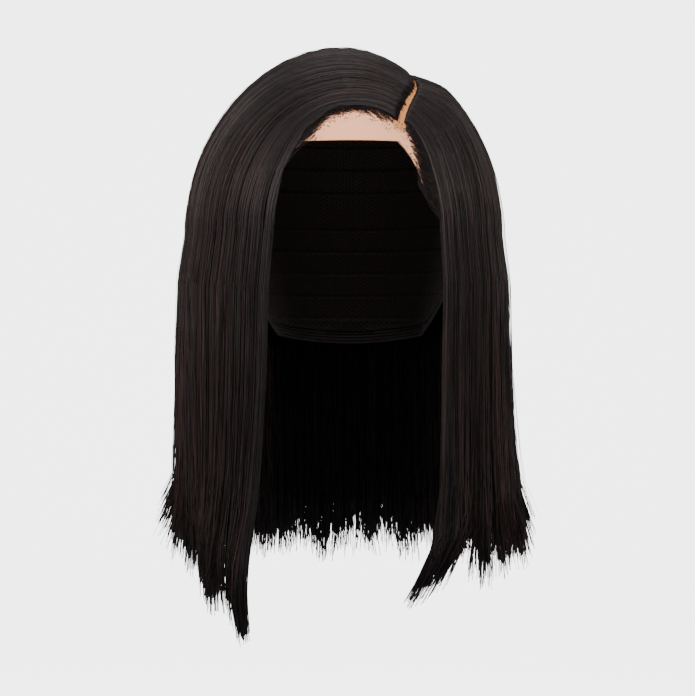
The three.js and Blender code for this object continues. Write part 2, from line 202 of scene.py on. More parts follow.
def spread_flat(mesh, tilt):
    """Lays the map unrolled round a point of the head, tilted in degrees from its top towards its
    back, so that it has no seam or pole on the piece."""
    n = unit(mesh_points(mesh) + [0, 0, CROWN_HEIGHT])
    t = math.radians(tilt)
    facing = n[:, 1] * math.sin(t) + n[:, 2] * math.cos(t)
    aside = np.stack([n[:, 0], n[:, 1] * math.cos(t) - n[:, 2] * math.sin(t)], -1)
    lay_map(mesh, unit(aside) * np.arccos(np.clip(facing, -1, 1))[:, None] * HEAD_FRONT * MM)


def plain_material(name, colour, roughness, gloss=0.5):
    """A material with its tree and its shader."""
    material = bpy.data.materials.new(name)
    material.use_nodes = True
    shader = material.node_tree.nodes["Principled BSDF"]
    shader.inputs["Base Color"].default_value = (*colour, 1)
    shader.inputs["Roughness"].default_value = roughness
    shader.inputs["Specular IOR Level"].default_value = gloss
    return material, material.node_tree, shader


def node(tree, kind, inputs=(), **settings):
    """A shader node with its settings, and with its inputs set or linked by name or number."""
    made = tree.nodes.new("ShaderNode" + kind)
    for name, value in settings.items():
        setattr(made, name, value)
    for name, value in dict(inputs).items():
        if isinstance(value, bpy.types.NodeSocket):
            tree.links.new(value, made.inputs[name])
        else:
            made.inputs[name].default_value = value
    return made


def maths(tree, operation, *values):
    """The result of a Math node with its values set or linked."""
    return node(tree, "Math", dict(enumerate(values)), operation=operation).outputs[0]


def net_group():
    """Threads round six-sided holes: 1 on the threads, 0 in the holes."""
    group = bpy.data.node_groups.new("net threads", "ShaderNodeTree")
    group.interface.new_socket("Vector", in_out="INPUT", socket_type="NodeSocketVector")
    group.interface.new_socket("Cells per metre", in_out="INPUT", socket_type="NodeSocketFloat")
    group.interface.new_socket("Thread width", in_out="INPUT", socket_type="NodeSocketFloat")
    group.interface.new_socket("Threads", in_out="OUTPUT", socket_type="NodeSocketFloat")
    given = group.nodes.new("NodeGroupInput").outputs
    result = group.nodes.new("NodeGroupOutput").inputs
    turns = maths(group, "MULTIPLY", given["Cells per metre"], 4 * math.pi / math.sqrt(3))
    waves = []
    for degrees in (0, 60, 120):
        a = math.radians(degrees)
        along = {0: given["Vector"], 1: (math.cos(a), math.sin(a), 0)}
        run = node(group, "VectorMath", along, operation="DOT_PRODUCT").outputs["Value"]
        waves.append(maths(group, "COSINE", maths(group, "MULTIPLY", run, turns)))
    total = maths(group, "ADD", maths(group, "ADD", waves[0], waves[1]), waves[2])
    edge = maths(group, "SUBTRACT", given["Thread width"], 1.5)
    soft = maths(group, "ADD", edge, 0.5)
    threads = node(group, "MapRange", {"Value": total, "From Min": soft, "From Max": edge})
    group.links.new(threads.outputs["Result"], result["Threads"])
    return group


net_threads = net_group()


def threads_in(tree, cell, width):
    """The threads of a net on the map 'cloth', with holes of a size in millimetres."""
    at = node(tree, "UVMap", uv_map="cloth").outputs["UV"]
    inputs = {"Vector": at, "Cells per metre": 1000 / cell, "Thread width": width}
    return node(tree, "Group", inputs, node_tree=net_threads).outputs["Threads"]


def two_tones(tree, share, first, second):
    """A colour between two, by a share."""
    mixed = node(tree, "Mix", {0: share, 6: (*first, 1), 7: (*second, 1)}, data_type="RGBA")
    return mixed.outputs[2]


def raised(tree, shader, height, distance):
    """Raises a shader's surface by a pattern, up to a distance in millimetres."""
    bump = node(tree, "Bump", {"Height": height, "Distance": distance * MM, "Strength": 1.0})
    tree.links.new(bump.outputs["Normal"], shader.inputs["Normal"])


net_material, tree, shader = plain_material("net_black", NET_BLACK, 0.75, 0.3)
threads = threads_in(tree, NET_CELL, 0.7)
tree.links.new(two_tones(tree, threads, NET_BLACK, THREAD_BLACK), shader.inputs["Base Color"])
raised(tree, shader, threads, 0.3)
cap_net = shell_on_head("stretch_net_cap", 0, CAP_WALL, [
    (behind_seam(), "INTERSECT"),
    (below_rim(BAND_HEIGHT), "DIFFERENCE"),
])
spread_flat(cap_net.data, 60)
cap_net.data.materials.clear()
cap_net.data.materials.append(net_material)
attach(cap_net, "root")
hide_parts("cap_net")


# Sewn rows: narrow dark tapes on the inside of the net, one above the other from the crown to the
# nape. The wefts are stitched down along them with a close zigzag.
ROW_WIDTH = 2.6
ROW_WALL = 0.45
ROW_PITCH = 9.5  # degrees, over the crown
LOW_ROW_PITCH = 15  # millimetres, below the widest level
TAPE_BROWN = (0.04, 0.03, 0.027)


def level_slabs():
    """Level slabs at equal steps down the head, as one cutter."""
    slabs = []
    for polar in np.radians(np.arange(24, 90, ROW_PITCH)):
        slabs.append((CROWN_HEIGHT * (math.cos(polar) - 1), max(math.sin(polar), 0.4)))
    for level in np.arange(-CROWN_HEIGHT - 10, -CROWN_HEIGHT - NAPE_DROP, -LOW_ROW_PITCH):
        slabs.append((level, 1))
    bm = bmesh.new()
    for level, share in slabs:
        made = bmesh.ops.create_cube(bm, size=1)["verts"]
        bmesh.ops.scale(bm, verts=made, vec=(0.3, 0.3, ROW_WIDTH * share * MM))
        bmesh.ops.translate(bm, verts=made, vec=(0, 0, level * MM))
    return finished("levels", bm)


tape_material, tree, shader = plain_material("tape_dark_brown", TAPE_BROWN, 0.7, 0.3)
at = node(tree, "TexCoord").outputs["Object"]
at = node(tree, "Mapping", {"Vector": at, "Scale": (700, 700, 350)}).outputs["Vector"]
stitches = node(tree, "TexVoronoi", {"Vector": at, "Scale": 1.0}).outputs["Distance"]
tree.links.new(two_tones(tree, stitches, TAPE_BROWN, NET_BLACK), shader.inputs["Base Color"])
raised(tree, shader, stitches, 0.3)
sewn_rows = shell_on_head("sewn_weft_rows", -ROW_WALL, -0.02, [
    (level_slabs(), "INTERSECT"),
    (behind_seam(), "INTERSECT"),
    (below_rim(BAND_HEIGHT + 2), "DIFFERENCE"),
])
sewn_rows.data.materials.clear()
sewn_rows.data.materials.append(tape_material)
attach(sewn_rows, "root")


# Edge band: black elastic, woven flat with fine ribs along it. It hems the net from ear to ear
# round the nape and grips the head.
BAND_WALL = 1.4
BAND_BLACK = (0.016, 0.014, 0.014)
RIB_PITCH = 1.1

band_material, tree, shader = plain_material("elastic_black", BAND_BLACK, 0.6, 0.4)
at = node(tree, "UVMap", uv_map="cloth").outputs["UV"]
bands = {"Vector": at, "Scale": 1000 / RIB_PITCH / 20 * math.pi, "Distortion": 0.0}
ribs = node(tree, "TexWave", bands, bands_direction="Y").outputs["Fac"]
tree.links.new(two_tones(tree, ribs, BAND_BLACK, THREAD_BLACK), shader.inputs["Base Color"])
raised(tree, shader, ribs, 0.35)
edge_band = shell_on_head("elastic_edge_band", 0, BAND_WALL, [
    (behind_seam(), "INTERSECT"),
    (below_rim(BAND_HEIGHT - PIECE_GAP), "INTERSECT"),
    (below_rim(0), "DIFFERENCE"),
])
points = mesh_points(edge_band.data)
rim = np.array(profile(CAP_RIM))
above_rim = points[:, 2] - np.interp(points[:, 1], rim[:, 0], rim[:, 1])
round_head = np.arctan2(points[:, 0], points[:, 1]) * HEAD_BACK
lay_map(edge_band.data, np.stack([round_head, above_rim], -1) * MM)
edge_band.data.materials.clear()
edge_band.data.materials.append(band_material)
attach(edge_band, "root")
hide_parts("edge_band")


# Lace front: sheer tan net from temple to temple, sewn to the cap behind and lying on the forehead
# below the hair. The hair's knots show in it, and a closer tan ground lies under the part.
LACE_WALL = 0.8
LACE_CELL = 1.3
FOREHEAD_DROP = 59.0
TEMPLE = ((-0.38, 0.605), (-0.56, 0.53), (-0.82, 0.41))
LACE_BEIGE = (0.98, 0.46, 0.265)
PART_TAN = (0.5, 0.2, 0.065)
KNOT_BROWN = (0.06, 0.025, 0.015)
GROUND_FADE = (4, 9)  # from the part, in millimetres
KNOTS_PER_METRE = 620.0
KNOT_SIZE = 0.36
LACE_FILM = 0.66
# part line from the forehead back: shares of the head's half width and depth
PART_LINE = np.array([(0.39, -0.77), (0.51, -0.42), (0.485, -0.12), (0.42, 0.14)])


def smooth_rows(table, at):
    """Rows of a table at shares between them, on smooth curves through its columns."""
    i = np.clip(np.floor(at).astype(int), 0, len(table) - 2)
    t = (at - i)[..., None]
    a, b, c, d = (table[np.clip(i + k, 0, len(table) - 1)] for k in (-1, 0, 1, 2))
    square, cube = 2 * a - 5 * b + 4 * c - d, 3 * b - a - 3 * c + d
    return 0.5 * (2 * b + (c - a) * t + square * t**2 + cube * t**3)


def smoothstep(x, low, high):
    """0 up to low, 1 from high on, and a smooth rise between."""
    t = np.clip((x - low) / (high - low), 0, 1)
    return t * t * (3 - 2 * t)


def part_direction(along):
    """Unit directions on the part line, from its front end at 0 to its back end at 1."""
    before, after = 2 * PART_LINE[0] - PART_LINE[1], 2 * PART_LINE[-1] - PART_LINE[-2]
    table = np.vstack([before, PART_LINE, after])
    plan = smooth_rows(table, 1 + along * (len(PART_LINE) - 1) - 1e-9)
    top = np.sqrt(np.maximum(0, 1 - (plan**2).sum(-1)))
    return np.concatenate([plan, top[..., None]], -1)


def nearest(points, line):
    """The distance from each point to a line of points."""
    return np.sqrt(((points[:, None] - line[None]) ** 2).sum(-1)).min(1)


def keep_value(mesh, name, values):
    """Keeps a value for each vertex as an attribute, for the material."""
    mesh.attributes.new(name, "FLOAT", "POINT").data.foreach_set("value", values.astype(np.float32))


brow = -2 * HEAD_FRONT
lace_outline = [
    *profile(SEAM),
    *profile(TEMPLE),
    (-0.85 * HEAD_FRONT, -FOREHEAD_DROP),
    (brow, -FOREHEAD_DROP + PIECE_GAP),
    (brow, HEAD_SPAN),
    (profile(SEAM)[0][0], HEAD_SPAN),
]
lace = shell_on_head("lace_front_net", 0, LACE_WALL, [(lace_outline, "INTERSECT")], fineness=4)
spread_flat(lace.data, -40)
points = mesh_points(lace.data)
part_line = on_head(part_direction(np.linspace(0, 1, 40)))
keep_value(lace.data, "ground", 1 - smoothstep(nearest(points, part_line), *GROUND_FADE))

lace_material, tree, shader = plain_material("lace_beige", LACE_BEIGE, 0.65, 0.3)
threads = threads_in(tree, LACE_CELL, 0.75)
under_part = node(tree, "Attribute", attribute_name="ground").outputs["Fac"]
knotted = node(tree, "Attribute", attribute_name="knots").outputs["Fac"]
at = node(tree, "UVMap", uv_map="cloth").outputs["UV"]
scattered = {"Vector": at, "Scale": KNOTS_PER_METRE, "Randomness": 0.8}
knots = node(tree, "TexVoronoi", scattered).outputs["Distance"]
knots = maths(tree, "MULTIPLY", maths(tree, "LESS_THAN", knots, KNOT_SIZE), knotted)
colour = two_tones(tree, under_part, LACE_BEIGE, PART_TAN)
colour = node(tree, "Mix", {0: knots, 6: colour, 7: (*KNOT_BROWN, 1)}, data_type="RGBA").outputs[2]
tree.links.new(colour, shader.inputs["Base Color"])
film = maths(tree, "MAXIMUM", maths(tree, "MAXIMUM", under_part, knots), LACE_FILM)
solid = maths(tree, "MAXIMUM", maths(tree, "MULTIPLY", threads, 0.92), film)
tree.links.new(solid, shader.inputs["Alpha"])
raised(tree, shader, threads, 0.15)
lace.data.materials.clear()
lace.data.materials.append(lace_material)
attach(lace, "root")
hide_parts("lace_front")


# Wefts: three curtains of straight hair, sewn to the net at the sides and the nape. They hang
# close inside the combed hair and fill it from the cap down to just above its ends.
FULL_RIGHT, FULL_LEFT, FULL_FRONT, FULL_BACK, FULL_TOP = 26.5, 19.0, 9.0, 17.0, 8.0
BELLY_DROP = 18.0
HAIR_FALL, TIP_SWING = 370.0, 20.0
HAIR_THICKNESS = 9.0
WEFT_THICKNESS = 6.0
HAIR_EQUATOR = -CROWN_HEIGHT - BELLY_DROP
HAIR_CROWN_HEIGHT = CROWN_HEIGHT + FULL_TOP + BELLY_DROP
HAIR_BLACK = (0.0056, 0.0051, 0.0055)
SHADE_BLACK = (0.001, 0.0008, 0.0008)
HAIR_BROWN = (0.011, 0.0068, 0.0066)
HAIR_CHESTNUT = (0.046, 0.019, 0.0145)
# share of the way down from the widest level, then shares of the hair's half sizes: right, left,
# front, back
HANG_FORM = np.array([
    (0, 1, 1, 1, 1),
    (0.15, 1.06, 1.045, 0.99, 1),
    (0.42, 1.035, 1.03, 0.95, 0.97),
    (0.66, 0.995, 1.055, 0.91, 0.93),
    (1, 1, 1.09, 0.87, 0.9),
])
# a row for each guide, round from the right face edge to the left one: share of the part, crest
# and hang in degrees, rise, lift, fall, swing in x and y
PART, CREST, HANG, RISE, LIFT, FALL, SWING_X, SWING_Y = range(8)
GUIDES = np.array([
    (0.0, 43, -27.5, 0.3, 0.5, 0.97, -1, 0),
    (0.1, 43, -43, 0.3, 0.85, 0.94, -0.7, 0),
    (0.25, 43, -62, 0.33, 1, 0.89, -0.4, 0),
    (0.42, 43, -84, 0.35, 1, 0.835, -0.8, 0.1),
    (0.62, 44, -108, 0.35, 1, 0.845, -0.4, 0.15),
    (0.82, 44, -130, 0.36, 1, 0.865, -0.2, 0.15),
    (0.93, 44, -150, 0.36, 1, 0.875, 0, 0.15),
    (1.0, 44, -180, 0.36, 1, 0.88, 0, 0.15),
    (0.93, 44, -210, 0.32, 1, 0.875, 0, 0.15),
    (0.82, 45, -230, 0.28, 1, 0.865, 0.2, 0.15),
    (0.64, 47, -252, 0.24, 1, 0.852, 0.5, 0.15),
    (0.46, 49, -275, 0.24, 1, 0.855, 0.75, 0),
    (0.3, 52, -298, 0.32, 1, 0.885, 0, 0),
    (0.14, 56, -311, 0.5, 0.9, 0.905, -0.6, 0),
    (0.0, 60, -324, 0.7, 0.6, 0.92, -0.95, 0),
])
LAST_GUIDE = len(GUIDES) - 1
# top is the share of the head's span below the crown where a weft is sewn on
WEFTS = (
    ("weft_right", "weft_behind_right_ear", 2.6, 5.18, 0.36, 560),
    ("weft_nape", "weft_along_nape", 5.22, 8.78, 0.5, 760),
    ("weft_left", "weft_behind_left_ear", 8.82, 11.4, 0.36, 560),
)
WEFT_FALL = 0.975
WEFT_CLUMPS = 6  # for each guide
WEFT_STATIONS = np.array([0, 0.04, 0.12, 0.25, 0.5, 0.75, 0.9, 1.0])
WEFT_RADIUS = (0.22, 0.34)
# how far the solid body stays above the ends, how far single hairs hang past them, and over what
# length the hairs end
WEFT_BODY_SHORT, WEFT_END_PAST, WEFT_END_SCATTER = (24, 36), 4, 20
END_POWER = 0.6  # below 1 few hairs reach the lowest ends


def direction(polar, azimuth):
    """Unit directions from degrees down from the top and round from the face."""
    p, a = np.broadcast_arrays(np.radians(polar), np.radians(azimuth))
    return np.stack([np.sin(p) * np.sin(a), -np.sin(p) * np.cos(a), np.cos(p)], -1)


def on_hair(n):
    """Points on the full outside of the hair in unit directions, above its widest level."""
    side = HEAD_HALF_WIDTH + np.where(n[..., 0] < 0, FULL_RIGHT, FULL_LEFT)
    depth = np.where(n[..., 1] < 0, HEAD_FRONT + FULL_FRONT, HEAD_BACK + FULL_BACK)
    z = HAIR_EQUATOR + HAIR_CROWN_HEIGHT * n[..., 2]
    return np.stack([n[..., 0] * side, n[..., 1] * depth, z], -1)


def hanging(guide, z):
    """Points on the outside of the hanging hair at a height, swung aside near the ends."""
    away = direction(90.0, guide[..., HANG])
    drop = (HAIR_EQUATOR - z) / (HAIR_EQUATOR + HAIR_FALL)
    form = (np.interp(drop, HANG_FORM[:, 0], HANG_FORM[:, k]) for k in (1, 2, 3, 4))
    right, left, front, back = form
    swung = TIP_SWING * np.maximum(0, drop) ** 2
    full = on_hair(away)
    return np.stack([
        full[..., 0] * np.where(away[..., 0] < 0, right, left) + guide[..., SWING_X] * swung,
        full[..., 1] * np.where(away[..., 1] < 0, front, back) + guide[..., SWING_Y] * swung,
        z + 0 * swung,
    ], -1)


def end_of(u):
    """The height at which the hair ends, for places between the guides."""
    return -HAIR_FALL * smooth_rows(GUIDES, u)[..., FALL]


def in_weft(u, sewn, z, depth):
    """Points in a weft, at a depth below its outside, and the way outwards there."""
    guide = smooth_rows(GUIDES, u)
    away = direction(90.0, guide[..., HANG])
    share = np.clip((sewn - z) / (sewn - WEFT_FALL * end_of(u)), 0, 1)
    polar = math.degrees(math.acos(max(0, 1 + sewn / CROWN_HEIGHT)))
    root = on_head(direction(polar, guide[..., HANG]), 2 * WEFT_THICKNESS / 3)
    root[..., 2] = z
    high = np.degrees(np.arccos(np.clip((z - HAIR_EQUATOR) / HAIR_CROWN_HEIGHT, 0, 1)))
    hangs = (z < HAIR_EQUATOR)[..., None]
    outside = np.where(hangs, hanging(guide, z), on_hair(direction(high, guide[..., HANG])))
    under = outside - away * (HAIR_THICKNESS * (1 - 0.4 * share) + PIECE_GAP)[..., None]
    free = smoothstep(share, 0, 0.2)
    sunk = depth * (0.4 + 0.6 * free)
    return root + (under - root) * free[..., None] - away * sunk[..., None], away


def closed_slab(columns, rows, outer, inner):
    """A closed slab from a grid. outer and inner give its sides from shares across and down."""
    bm = bmesh.new()
    bm.loops.layers.uv.new("combed")
    bmesh.ops.create_grid(bm, x_segments=columns, y_segments=rows, size=1, calc_uvs=True)
    outside = bm.verts[:]
    whole = bm.verts[:] + bm.edges[:] + bm.faces[:]
    doubled = bmesh.ops.extrude_face_region(bm, geom=whole, use_keep_orig=True)
    inside = [item for item in doubled["geom"] if isinstance(item, bmesh.types.BMVert)]
    for verts, side in ((outside, outer), (inside, inner)):
        share = (coordinates(verts) + 1) / 2
        place(verts, side(share[:, 0], 1 - share[:, 1]))
    bmesh.ops.recalc_face_normals(bm, faces=bm.faces)
    return bm


def strand_mesh(points, outwards, radius, tone, rng):
    """Strands as thin closed tubes of three sides. points holds strands by stations in
    millimetres. The map 'combed' keeps a strand's tone, and how far along it a point is."""
    count, stations = points.shape[:2]
    run = unit(np.gradient(points, axis=1))
    across = unit(np.cross(run, outwards))
    up = np.cross(across, run)
    turn = rng.uniform(0, 2 * math.pi, (count, 1, 1))
    angles = [turn + 2 * math.pi * k / 3 for k in range(3)]
    sides = [(across * np.cos(a) + up * np.sin(a)) * radius[..., None] for a in angles]
    rings = np.stack([points + side for side in sides], 2)
    base = (np.arange(count) * stations * 3)[:, None, None]
    lower = base + (np.arange(stations - 1) * 3)[None, :, None]
    k, after = np.arange(3), np.array([1, 2, 0])
    walls = [lower + k, lower + 3 + k, lower + 3 + after, lower + after]
    walls = np.stack(walls, -1).reshape(-1, 4)
    ends = np.concatenate([base[:, 0] + k, base[:, 0] + 3 * (stations - 1) + k[::-1]])
    mesh = bpy.data.meshes.new("strands")
    mesh.from_pydata((rings.reshape(-1, 3) * MM).tolist(), [], walls.tolist() + ends.tolist())
    mesh.polygons.foreach_set("material_index", [1] * len(mesh.polygons))
    along = np.linspace(0, 1, stations)[:, None]
    at = np.stack(np.broadcast_arrays(tone[:, None, None], along, 0 * k), -1)[..., :2]
    corners = np.zeros(len(mesh.loops), dtype=np.int64)
    mesh.loops.foreach_get("vertex_index", corners)
    at = at.reshape(-1, 2)[corners]
    mesh.uv_layers.new(name="combed").data.foreach_set("uv", at.astype(np.float32).ravel())
    return mesh


def add_strands(bm, *strands):
    """Adds strands to a section or a weft."""
    mesh = strand_mesh(*strands)
    bm.from_mesh(mesh)
    bpy.data.meshes.remove(mesh)


def hair_material(name, gloss, tint, lit_side_brown):
    """Hair whose tone changes from strand to strand and a little along each. Over that lies painted
    shade and light by place: darker near the middle, where the hair turns in beside the face, and a
    warmer brown out at the lit sides."""
    material, tree, shader = plain_material(name, HAIR_BLACK, 0.36, gloss)
    shader.inputs["Specular Tint"].default_value = (*tint, 1)
    at = node(tree, "UVMap", uv_map="combed").outputs["UV"]
    at = node(tree, "Mapping", {"Vector": at, "Scale": (260, 2.5, 1)}).outputs["Vector"]
    tones = node(tree, "TexNoise", {"Vector": at, "Scale": 1.0, "Detail": 2.0}).outputs["Fac"]
    # painted shade and light: the tone shifts darker near the middle and towards chestnut at the
    # sides
    place_on = node(tree, "TexCoord").outputs["Object"]
    side = node(tree, "SeparateXYZ", {0: place_on}).outputs["X"]
    spread = {"From Min": 0.05, "From Max": 0.11, "To Min": -0.05, "To Max": lit_side_brown}
    outer = node(tree, "MapRange", {"Value": maths(tree, "ABSOLUTE", side), **spread})
    ramp = node(tree, "ValToRGB", {"Fac": maths(tree, "ADD", tones, outer.outputs["Result"])})
    first, last = ramp.color_ramp.elements
    first.position, first.color = 0.36, (*HAIR_BLACK, 1)
    last.position, last.color = 0.74, (*HAIR_CHESTNUT, 1)
    middle = ramp.color_ramp.elements.new(0.54)
    middle.color = (*HAIR_BROWN, 1)
    tree.links.new(ramp.outputs["Color"], shader.inputs["Base Color"])
    return material


strand_material = hair_material("hair_soft_black", 0.24, (1, 0.87, 0.85), 0.06)
under_material, tree, shader = plain_material("hair_in_shade", HAIR_BLACK, 0.8, 0.08)
at = node(tree, "UVMap", uv_map="combed").outputs["UV"]
at = node(tree, "Mapping", {"Vector": at, "Scale": (150, 3, 1)}).outputs["Vector"]
tones = node(tree, "TexNoise", {"Vector": at, "Scale": 1.0, "Detail": 3.0}).outputs["Fac"]
tree.links.new(two_tones(tree, tones, SHADE_BLACK, HAIR_BLACK), shader.inputs["Base Color"])
raised(tree, shader, tones, 0.8)


def uneven(from_u, to_u, per_guide, rng):
    """The edges of clumps of uneven width between two guides."""
    count = int(per_guide * (to_u - from_u))
    edges = np.linspace(from_u, to_u, count + 1)
    edges[1:-1] += rng.uniform(-0.3, 0.3, count - 1) * (to_u - from_u) / count
    return edges


def clumped(u, edges):
    """For each strand the number, the middle and the half width of its clump."""
    own = np.clip(np.searchsorted(edges, u) - 1, 0, len(edges) - 2)
    middle, half = (edges[:-1] + edges[1:]) / 2, (edges[1:] - edges[:-1]) / 2
    return own, middle[own], half[own]


def weft(name, from_u, to_u, top, count, seed):
    """A weft between two guides: a closed body, and strands over both its sides."""
    rng = np.random.default_rng(seed)
    sewn = -top * HEAD_SPAN
    ragged = rng.uniform(*WEFT_BODY_SHORT, 11)

    def side(depth_at):
        def points(across, down):
            u = from_u + (to_u - from_u) * across
            short = np.interp(across, np.linspace(0, 1, 11), ragged)
            z = sewn + (WEFT_FALL * end_of(u) + short - sewn) * down
            return in_weft(u, sewn, z, depth_at(down))[0]
        return points

    outer = side(lambda down: 0.8 + 1.0 * down)
    inner = side(lambda down: WEFT_THICKNESS - 1.0 - 2.0 * down)
    bm = closed_slab(30, 24, outer, inner)
    u = rng.uniform(from_u, to_u, count)
    middle, half = clumped(u, uneven(from_u, to_u, WEFT_CLUMPS, rng))[1:]
    down = WEFT_STATIONS[None, :]
    drawn = 0.15 + 0.15 * smoothstep(down, 0.6, 1)
    wave = 0.03 * np.sin(down * 9 + rng.uniform(0, 6, (count, 1)))
    guide = u[:, None] + (middle - u)[:, None] * drawn + wave
    end = WEFT_FALL * end_of(u) - WEFT_END_PAST + WEFT_END_SCATTER * rng.random(count) ** END_POWER
    end = end + 3 * abs(u - middle) / half
    z = sewn + (end[:, None] - sewn) * down
    inside = rng.random(count) < 0.6
    deep = WEFT_THICKNESS - rng.uniform(-0.3, 2.0, count)
    depth = np.where(inside, deep, rng.uniform(0, 1.6, count))
    points, outwards = in_weft(guide, sewn, z, depth[:, None] - 1.2 * (down - down**2) + 0 * z)
    taper = np.interp(down, [0, 0.1, 0.8, 1], [0.8, 1, 1.3, 0.8])
    radius = rng.uniform(*WEFT_RADIUS, (count, 1)) * taper
    add_strands(bm, points, outwards, radius, rng.random(count), rng)
    return finished(name, bm, under_material, strand_material)


for seed, (hidden, name, from_u, to_u, top, count) in enumerate(WEFTS):
    piece = weft(name, from_u, to_u, top, count, 40 + seed)
    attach(piece, "root")
    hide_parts(hidden)


# Combed hair: seven sections of straight hair, tied to the lace and the net along the part and
# combed over the crown to both sides. They hang to a blunt, softly uneven hem, in locks.
PART_HALF_WIDTH, PART_FRONT_HALF_WIDTH = 2.0, 2.7
ROOT_RISE = 1.6
HAIR_EDGE_THICKNESS = 5.0
# where strands bend: shares of the way over the crown, and of the way they hang down
TOP_STATIONS = np.concatenate([[0, 0.03, 0.07], np.linspace(0.12, 0.955, 17)])
UNDER_STATIONS = np.array([0, 0.04, 0.12, 0.26, 0.42, 0.6, 0.8])
HANG_STATIONS = np.array([0, 0.15, 0.42, 0.7, 0.88, 1.0])
SECTIONS = (
    ("hair_right_front", "hair_right_of_face", 0, 2, 960),
    ("hair_right_side", "hair_over_right_ear", 2, 4, 960),
    ("hair_right_back", "hair_behind_right_ear", 4, 6, 880),
    ("hair_back", "hair_down_back", 6, 8, 1150),
    ("hair_left_back", "hair_behind_left_ear", 8, 10, 880),
    ("hair_left_side", "hair_over_left_ear", 10, 12, 950),
    ("hair_left_front", "hair_left_of_face", 12, 14, 760),
)
# the bodies: how far they keep back from the face, how far they stay above the ends, and the share
# of their length that lies over the crown
FACE_EDGE_INSET = 0.13
BODY_SHORT = (42, 58)
BODY_CROWN_SHARE = 0.55
BODY_COLUMNS, BODY_ROWS = 34, 48
# the strands: their radii and their depths below the outside
STRAND_RADIUS, INNER_RADIUS, LOOSE_RADIUS = (0.2, 0.33), (0.24, 0.34), (0.12, 0.18)
TOP_SHARE = 0.38  # of the strands lie on top and have more stations
TOP_DEPTH, UNDER_DEPTH, LOOSE_DEPTH = (-0.3, 0.7), (0.5, 1.8), (-1.2, 0.2)
EDGE_STRANDS = 150
INNER_STRANDS = 160
INNER_STATIONS = np.array([0, 0.5])
LOOSE_STRANDS = 40
# the shares of strands that start away from the part, and that cross it
SCATTERED_SHARE, CROSSING_SHARE = 0.2, 0.05
# the clumps for each guide, from fine ones to the points of the ends
FINE_CLUMPS, LOCKS, POINTS = 24, 10, 2.3
# how far the longest hairs hang past the ends, and over what length the hairs end
END_PAST, END_SCATTER = 6, 30
# the edges of the large points that the ends beside the face draw into, and how much shorter the
# hair is at those edges
TIPS = {0: (np.array([-0.35, 0.8, 2.15]), 8), 12: (np.array([11.85, 12.85, 14.35]), 17)}
POINT_SIDES = 8  # the same for all other points
# how far some ends are flung outwards, between which guides, and the share of them
FLARES = ((13.0, (2.5, 2.9, 3.4, 3.8), 0.3), (7.0, (10.0, 10.6, 11.4, 11.9), 0.24))


def over_crown(guide, over, depth):
    """Points in the hair over the crown, at a depth below its outside, and the way outwards."""
    away = direction(90.0, guide[..., HANG])
    aside = unit(np.stack([away[..., 0], np.maximum(0, away[..., 1]), 0 * away[..., 2]], -1))
    along = np.clip(guide[..., PART], 0, 1)
    wider = PART_HALF_WIDTH - PART_FRONT_HALF_WIDTH
    half = PART_FRONT_HALF_WIDTH + wider * np.minimum(1, 3 * along)
    root = unit(part_direction(along) + aside * (half / HEAD_HALF_WIDTH)[..., None])
    crest = direction(guide[..., CREST], guide[..., HANG])
    b = over[..., None]
    n = unit(root * (1 - b) ** 2 + crest * 2 * b * (1 - b) + away * b**2)
    lift = guide[..., LIFT] + (1 - guide[..., LIFT]) * smoothstep(over, 0.6, 1)
    lift = lift * smoothstep(over, 0, guide[..., RISE])
    low = on_head(n, CAP_WALL + ROOT_RISE)
    point = low + (on_hair(n) - low) * lift[..., None]
    room = np.linalg.norm(point - on_head(n, LACE_WALL + 0.1), axis=-1)
    towards = unit(on_head(n, LACE_WALL + 0.1) - point)
    towards = unit(towards + (-n - towards) * smoothstep(over, 0.86, 1)[..., None])
    return point + towards * np.minimum(depth, room)[..., None], n


def swept(u, z):
    """How far the front ends sweep to the left: on the right of the face they turn back at the
    tips, and on the left they hook in towards the throat."""
    down = np.clip((HAIR_EQUATOR - z) / (HAIR_EQUATOR - end_of(u)), 0, 1.05)
    right = 9 * smoothstep(down, 0.86, 1.05) ** 1.3 - 3.5 * smoothstep(down, 0.5, 0.85)
    left = 8 * down**2 - 24 * smoothstep(down, 0.78, 1.05) ** 1.2
    return right * np.interp(u, [0.8, 2.2], [1, 0]) + left * np.interp(u, [12.3, 13.5], [0, 1])


def in_hair(u, over, z, depth):
    """Points in the combed hair and the way outwards there: over is the share of the way over
    the crown, and from 1 on the hair hangs and z counts."""
    guide = smooth_rows(GUIDES, u)
    crown, n = over_crown(guide, np.minimum(over, 1), depth)
    away = direction(90.0, guide[..., HANG])
    hung = hanging(guide, z) - away * depth[..., None]
    hung[..., 0] += swept(u, z)
    hangs = (over >= 1)[..., None]
    return np.where(hangs, hung, crown), np.where(hangs, away, n)


def thickness(u, down):
    """How thick the hanging hair is: less beside the face, and less towards the ends."""
    edge = np.clip(np.minimum(u, LAST_GUIDE - u), 0, 1)
    return (HAIR_EDGE_THICKNESS + (HAIR_THICKNESS - HAIR_EDGE_THICKNESS) * edge) * (1 - 0.4 * down)


